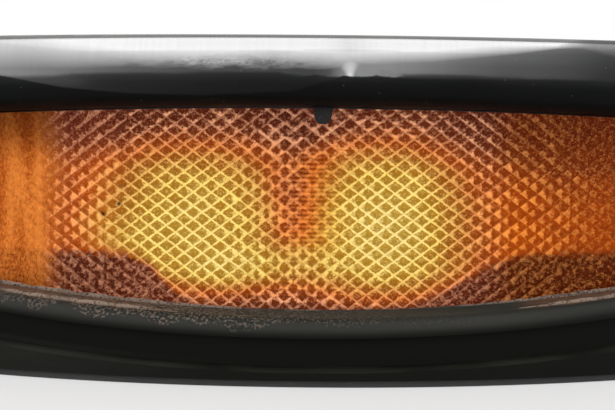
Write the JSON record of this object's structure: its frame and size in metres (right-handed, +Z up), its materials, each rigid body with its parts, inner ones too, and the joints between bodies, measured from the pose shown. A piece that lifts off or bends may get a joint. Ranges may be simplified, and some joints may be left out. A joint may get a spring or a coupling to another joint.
{
  "type": "taxi roof sign lamp",
  "caption": "Black roof sign for a taxi cab: rounded visor hood over a curved amber lens, lit from inside, on a moulded base.",
  "frame": {"origin": "middle of the gasket's underside, on the surface that the sign stands on", "axes": "+Z up, the lens faces -Y, +X to the right as the lens is seen"},
  "size_m": [0.4192, 0.286, 0.139],
  "materials": {
    "gloss_black": "gloss",
    "satin_black": "satin",
    "rubber": "matte",
    "amber_lens": "gloss",
    "white_enamel": "gloss",
    "zinc_steel": "satin",
    "screw_steel": "satin",
    "brass": "satin",
    "bulb_glass": "gloss"
  },
  "bodies": {
    "root": {"hood_shell": "gloss_black", "hood_seal": "rubber", "base_moulding": "satin_black", "base_gasket": "rubber", "lens": "amber_lens", "lens_seal": "rubber", "lens_clip": "satin_black", "reflector": "white_enamel", "lamp_bracket": "zinc_steel", "cable_grommet": "rubber", "bulb_holder_left": "zinc_steel", "bulb_cap_left": "brass", "bulb_glass_left": "bulb_glass", "bulb_holder_right": "zinc_steel", "bulb_cap_right": "brass", "bulb_glass_right": "bulb_glass", "mount_insert_front_left": "brass", "hood_screw_front_left": "screw_steel", "mount_insert_front_right": "brass", "hood_screw_front_right": "screw_steel", "mount_insert_rear_left": "brass", "hood_screw_rear_left": "screw_steel", "mount_insert_rear_right": "brass", "hood_screw_rear_right": "screw_steel"}
  },
  "joints": []
}
